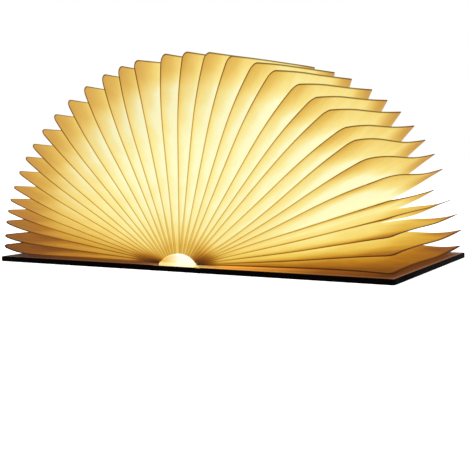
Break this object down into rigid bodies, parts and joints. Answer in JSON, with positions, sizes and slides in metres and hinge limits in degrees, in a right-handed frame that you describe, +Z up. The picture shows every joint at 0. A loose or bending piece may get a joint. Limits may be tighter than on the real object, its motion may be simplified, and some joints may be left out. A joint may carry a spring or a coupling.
{
  "type": "folding book lamp",
  "caption": "Lamp shaped like a book: two wrapped covers hinged to a spine with a domed light bar, and a fan of folded translucent pleats that opens and shuts with the covers.",
  "frame": {"origin": "middle of the spine's underside, on the table, with the book open flat", "axes": "+X from the left fore-edge to the right fore-edge, +Y along the spine from the front end of the light bar to its charging end, +Z up"},
  "size_m": [0.209, 0.112, 0.1017],
  "materials": {
    "leatherette": "satin, fine grain",
    "greyboard": "matt",
    "brown_sheet": "matt",
    "cream_sheet": "matt, translucent, lit from inside",
    "white_plastic": "satin",
    "opal_plastic": "frosted, glowing",
    "lamp_board": "solder mask",
    "phosphor": "gel",
    "circuit_board": "solder mask",
    "chip_black": "matt",
    "steel": "bright",
    "foil": "laminated foil",
    "switch_glass": "clear",
    "wire_sleeve": "matt"
  },
  "bodies": {
    "light_unit": {"spine_board": "greyboard", "spine_wrap": "leatherette", "left_hinge_roll": "leatherette", "right_hinge_roll": "leatherette", "bar_tray": "white_plastic", "diffuser": "opal_plastic", "back_cap": "white_plastic", "lamp_board": "lamp_board", "lamp_chips": "phosphor", "battery": "foil", "control_board": "circuit_board", "board_parts": "chip_black", "charging_socket": "steel", "reed_switch": "switch_glass", "charge_light_window": "opal_plastic", "wires": "wire_sleeve"},
    "left_cover": {"left_cover_wrap": "leatherette", "left_cover_board": "greyboard", "left_end_sheet": "brown_sheet", "left_magnets": "steel"},
    "right_cover": {"right_cover_wrap": "leatherette", "right_cover_board": "greyboard", "right_end_sheet": "brown_sheet", "right_magnets": "steel"},
    "left_pleat_01": {"left_pleat_01": "cream_sheet"},
    "left_pleat_02": {"left_pleat_02": "cream_sheet"},
    "left_pleat_03": {"left_pleat_03": "cream_sheet"},
    "left_pleat_04": {"left_pleat_04": "cream_sheet"},
    "left_pleat_05": {"left_pleat_05": "cream_sheet"},
    "left_pleat_06": {"left_pleat_06": "cream_sheet"},
    "left_pleat_07": {"left_pleat_07": "cream_sheet"},
    "left_pleat_08": {"left_pleat_08": "cream_sheet"},
    "left_pleat_09": {"left_pleat_09": "cream_sheet"},
    "left_pleat_10": {"left_pleat_10": "cream_sheet"},
    "left_pleat_11": {"left_pleat_11": "cream_sheet"},
    "left_pleat_12": {"left_pleat_12": "cream_sheet"},
    "left_pleat_13": {"left_pleat_13": "cream_sheet"},
    "left_pleat_14": {"left_pleat_14": "cream_sheet"},
    "left_pleat_15": {"left_pleat_15": "cream_sheet"},
    "left_pleat_16": {"left_pleat_16": "cream_sheet"},
    "left_pleat_17": {"left_pleat_17": "cream_sheet"},
    "right_pleat_01": {"right_pleat_01": "cream_sheet"},
    "right_pleat_02": {"right_pleat_02": "cream_sheet"},
    "right_pleat_03": {"right_pleat_03": "cream_sheet"},
    "right_pleat_04": {"right_pleat_04": "cream_sheet"},
    "right_pleat_05": {"right_pleat_05": "cream_sheet"},
    "right_pleat_06": {"right_pleat_06": "cream_sheet"},
    "right_pleat_07": {"right_pleat_07": "cream_sheet"},
    "right_pleat_08": {"right_pleat_08": "cream_sheet"},
    "right_pleat_09": {"right_pleat_09": "cream_sheet"},
    "right_pleat_10": {"right_pleat_10": "cream_sheet"},
    "right_pleat_11": {"right_pleat_11": "cream_sheet"},
    "right_pleat_12": {"right_pleat_12": "cream_sheet"},
    "right_pleat_13": {"right_pleat_13": "cream_sheet"},
    "right_pleat_14": {"right_pleat_14": "cream_sheet"},
    "right_pleat_15": {"right_pleat_15": "cream_sheet"},
    "right_pleat_16": {"right_pleat_16": "cream_sheet"},
    "right_pleat_17": {"right_pleat_17": "cream_sheet"}
  },
  "joints": [
    {"name": "left_cover_hinge", "type": "hinge", "parent": "light_unit", "child": "left_cover", "pos_m": [-0.01125, 0, 0.00125], "axis": [0, 1, 0], "range_deg": [0, 90]},
    {"name": "right_cover_hinge", "type": "hinge", "parent": "light_unit", "child": "right_cover", "pos_m": [0.01125, 0, 0.00125], "axis": [0, -1, 0], "range_deg": [0, 90]},
    {"name": "left_pleat_01_turn", "type": "hinge", "parent": "light_unit", "child": "left_pleat_01", "pos_m": [-0.00029, 0, 0.00925], "axis": [0, 1, 0], "range_deg": [0, 6.8]},
    {"name": "left_pleat_02_turn", "type": "hinge", "parent": "light_unit", "child": "left_pleat_02", "pos_m": [-0.00088, 0, 0.00921], "axis": [0, 1, 0], "range_deg": [0, 13.97]},
    {"name": "left_pleat_03_turn", "type": "hinge", "parent": "light_unit", "child": "left_pleat_03", "pos_m": [-0.00147, 0, 0.00915], "axis": [0, 1, 0], "range_deg": [0, 21.03]},
    {"name": "left_pleat_04_turn", "type": "hinge", "parent": "light_unit", "child": "left_pleat_04", "pos_m": [-0.00206, 0, 0.00906], "axis": [0, 1, 0], "range_deg": [0, 27.93]},
    {"name": "left_pleat_05_turn", "type": "hinge", "parent": "light_unit", "child": "left_pleat_05", "pos_m": [-0.00265, 0, 0.00893], "axis": [0, 1, 0], "range_deg": [0, 34.61]},
    {"name": "left_pleat_06_turn", "type": "hinge", "parent": "light_unit", "child": "left_pleat_06", "pos_m": [-0.00324, 0, 0.00876], "axis": [0, 1, 0], "range_deg": [0, 41.01]},
    {"name": "left_pleat_07_turn", "type": "hinge", "parent": "light_unit", "child": "left_pleat_07", "pos_m": [-0.00382, 0, 0.00857], "axis": [0, 1, 0], "range_deg": [0, 47.1]},
    {"name": "left_pleat_08_turn", "type": "hinge", "parent": "light_unit", "child": "left_pleat_08", "pos_m": [-0.00441, 0, 0.00833], "axis": [0, 1, 0], "range_deg": [0, 52.83]},
    {"name": "left_pleat_09_turn", "type": "hinge", "parent": "light_unit", "child": "left_pleat_09", "pos_m": [-0.005, 0, 0.00805], "axis": [0, 1, 0], "range_deg": [0, 58.2]},
    {"name": "left_pleat_10_turn", "type": "hinge", "parent": "light_unit", "child": "left_pleat_10", "pos_m": [-0.00559, 0, 0.00773], "axis": [0, 1, 0], "range_deg": [0, 63.19]},
    {"name": "left_pleat_11_turn", "type": "hinge", "parent": "light_unit", "child": "left_pleat_11", "pos_m": [-0.00618, 0, 0.00736], "axis": [0, 1, 0], "range_deg": [0, 67.79]},
    {"name": "left_pleat_12_turn", "type": "hinge", "parent": "light_unit", "child": "left_pleat_12", "pos_m": [-0.00676, 0, 0.00693], "axis": [0, 1, 0], "range_deg": [0, 72.03]},
    {"name": "left_pleat_13_turn", "type": "hinge", "parent": "light_unit", "child": "left_pleat_13", "pos_m": [-0.00735, 0, 0.00644], "axis": [0, 1, 0], "range_deg": [0, 75.94]},
    {"name": "left_pleat_14_turn", "type": "hinge", "parent": "light_unit", "child": "left_pleat_14", "pos_m": [-0.00794, 0, 0.00588], "axis": [0, 1, 0], "range_deg": [0, 79.53]},
    {"name": "left_pleat_15_turn", "type": "hinge", "parent": "light_unit", "child": "left_pleat_15", "pos_m": [-0.00853, 0, 0.00522], "axis": [0, 1, 0], "range_deg": [0, 82.87]},
    {"name": "left_pleat_16_turn", "type": "hinge", "parent": "light_unit", "child": "left_pleat_16", "pos_m": [-0.00912, 0, 0.00443], "axis": [0, 1, 0], "range_deg": [0, 85.99]},
    {"name": "left_pleat_17_turn", "type": "hinge", "parent": "light_unit", "child": "left_pleat_17", "pos_m": [-0.00971, 0, 0.00347], "axis": [0, 1, 0], "range_deg": [0, 88.96]},
    {"name": "right_pleat_01_turn", "type": "hinge", "parent": "light_unit", "child": "right_pleat_01", "pos_m": [0.00029, 0, 0.00925], "axis": [0, -1, 0], "range_deg": [0, 0.4]},
    {"name": "right_pleat_02_turn", "type": "hinge", "parent": "light_unit", "child": "right_pleat_02", "pos_m": [0.00088, 0, 0.00921], "axis": [0, -1, 0], "range_deg": [0, 7.57]},
    {"name": "right_pleat_03_turn", "type": "hinge", "parent": "light_unit", "child": "right_pleat_03", "pos_m": [0.00147, 0, 0.00915], "axis": [0, -1, 0], "range_deg": [0, 14.65]},
    {"name": "right_pleat_04_turn", "type": "hinge", "parent": "light_unit", "child": "right_pleat_04", "pos_m": [0.00206, 0, 0.00906], "axis": [0, -1, 0], "range_deg": [0, 21.59]},
    {"name": "right_pleat_05_turn", "type": "hinge", "parent": "light_unit", "child": "right_pleat_05", "pos_m": [0.00265, 0, 0.00893], "axis": [0, -1, 0], "range_deg": [0, 28.33]},
    {"name": "right_pleat_06_turn", "type": "hinge", "parent": "light_unit", "child": "right_pleat_06", "pos_m": [0.00324, 0, 0.00876], "axis": [0, -1, 0], "range_deg": [0, 34.83]},
    {"name": "right_pleat_07_turn", "type": "hinge", "parent": "light_unit", "child": "right_pleat_07", "pos_m": [0.00382, 0, 0.00857], "axis": [0, -1, 0], "range_deg": [0, 41.05]},
    {"name": "right_pleat_08_turn", "type": "hinge", "parent": "light_unit", "child": "right_pleat_08", "pos_m": [0.00441, 0, 0.00833], "axis": [0, -1, 0], "range_deg": [0, 46.98]},
    {"name": "right_pleat_09_turn", "type": "hinge", "parent": "light_unit", "child": "right_pleat_09", "pos_m": [0.005, 0, 0.00805], "axis": [0, -1, 0], "range_deg": [0, 52.6]},
    {"name": "right_pleat_10_turn", "type": "hinge", "parent": "light_unit", "child": "right_pleat_10", "pos_m": [0.00559, 0, 0.00773], "axis": [0, -1, 0], "range_deg": [0, 57.9]},
    {"name": "right_pleat_11_turn", "type": "hinge", "parent": "light_unit", "child": "right_pleat_11", "pos_m": [0.00618, 0, 0.00736], "axis": [0, -1, 0], "range_deg": [0, 62.9]},
    {"name": "right_pleat_12_turn", "type": "hinge", "parent": "light_unit", "child": "right_pleat_12", "pos_m": [0.00676, 0, 0.00693], "axis": [0, -1, 0], "range_deg": [0, 67.62]},
    {"name": "right_pleat_13_turn", "type": "hinge", "parent": "light_unit", "child": "right_pleat_13", "pos_m": [0.00735, 0, 0.00644], "axis": [0, -1, 0], "range_deg": [0, 72.08]},
    {"name": "right_pleat_14_turn", "type": "hinge", "parent": "light_unit", "child": "right_pleat_14", "pos_m": [0.00794, 0, 0.00588], "axis": [0, -1, 0], "range_deg": [0, 76.34]},
    {"name": "right_pleat_15_turn", "type": "hinge", "parent": "light_unit", "child": "right_pleat_15", "pos_m": [0.00853, 0, 0.00522], "axis": [0, -1, 0], "range_deg": [0, 80.44]},
    {"name": "right_pleat_16_turn", "type": "hinge", "parent": "light_unit", "child": "right_pleat_16", "pos_m": [0.00912, 0, 0.00443], "axis": [0, -1, 0], "range_deg": [0, 84.44]},
    {"name": "right_pleat_17_turn", "type": "hinge", "parent": "light_unit", "child": "right_pleat_17", "pos_m": [0.00971, 0, 0.00347], "axis": [0, -1, 0], "range_deg": [0, 88.41]}
  ],
  "couplings": [
    {"joint": "left_pleat_01_turn", "follows": "left_cover_hinge", "ratio": 0.075554},
    {"joint": "left_pleat_02_turn", "follows": "left_cover_hinge", "ratio": 0.15517},
    {"joint": "left_pleat_03_turn", "follows": "left_cover_hinge", "ratio": 0.23367},
    {"joint": "left_pleat_04_turn", "follows": "left_cover_hinge", "ratio": 0.31034},
    {"joint": "left_pleat_05_turn", "follows": "left_cover_hinge", "ratio": 0.38453},
    {"joint": "left_pleat_06_turn", "follows": "left_cover_hinge", "ratio": 0.45568},
    {"joint": "left_pleat_07_turn", "follows": "left_cover_hinge", "ratio": 0.5233},
    {"joint": "left_pleat_08_turn", "follows": "left_cover_hinge", "ratio": 0.58704},
    {"joint": "left_pleat_09_turn", "follows": "left_cover_hinge", "ratio": 0.64667},
    {"joint": "left_pleat_10_turn", "follows": "left_cover_hinge", "ratio": 0.70206},
    {"joint": "left_pleat_11_turn", "follows": "left_cover_hinge", "ratio": 0.75325},
    {"joint": "left_pleat_12_turn", "follows": "left_cover_hinge", "ratio": 0.80038},
    {"joint": "left_pleat_13_turn", "follows": "left_cover_hinge", "ratio": 0.84374},
    {"joint": "left_pleat_14_turn", "follows": "left_cover_hinge", "ratio": 0.8837},
    {"joint": "left_pleat_15_turn", "follows": "left_cover_hinge", "ratio": 0.92074},
    {"joint": "left_pleat_16_turn", "follows": "left_cover_hinge", "ratio": 0.95544},
    {"joint": "left_pleat_17_turn", "follows": "left_cover_hinge", "ratio": 0.9884},
    {"joint": "right_pleat_01_turn", "follows": "right_cover_hinge", "ratio": 0.0044449},
    {"joint": "right_pleat_02_turn", "follows": "right_cover_hinge", "ratio": 0.084111},
    {"joint": "right_pleat_03_turn", "follows": "right_cover_hinge", "ratio": 0.16279},
    {"joint": "right_pleat_04_turn", "follows": "right_cover_hinge", "ratio": 0.23985},
    {"joint": "right_pleat_05_turn", "follows": "right_cover_hinge", "ratio": 0.31474},
    {"joint": "right_pleat_06_turn", "follows": "right_cover_hinge", "ratio": 0.38697},
    {"joint": "right_pleat_07_turn", "follows": "right_cover_hinge", "ratio": 0.45616},
    {"joint": "right_pleat_08_turn", "follows": "right_cover_hinge", "ratio": 0.52204},
    {"joint": "right_pleat_09_turn", "follows": "right_cover_hinge", "ratio": 0.58444},
    {"joint": "right_pleat_10_turn", "follows": "right_cover_hinge", "ratio": 0.64336},
    {"joint": "right_pleat_11_turn", "follows": "right_cover_hinge", "ratio": 0.69889},
    {"joint": "right_pleat_12_turn", "follows": "right_cover_hinge", "ratio": 0.75129},
    {"joint": "right_pleat_13_turn", "follows": "right_cover_hinge", "ratio": 0.8009},
    {"joint": "right_pleat_14_turn", "follows": "right_cover_hinge", "ratio": 0.8482},
    {"joint": "right_pleat_15_turn", "follows": "right_cover_hinge", "ratio": 0.89376},
    {"joint": "right_pleat_16_turn", "follows": "right_cover_hinge", "ratio": 0.93823},
    {"joint": "right_pleat_17_turn", "follows": "right_cover_hinge", "ratio": 0.98231}
  ]
}
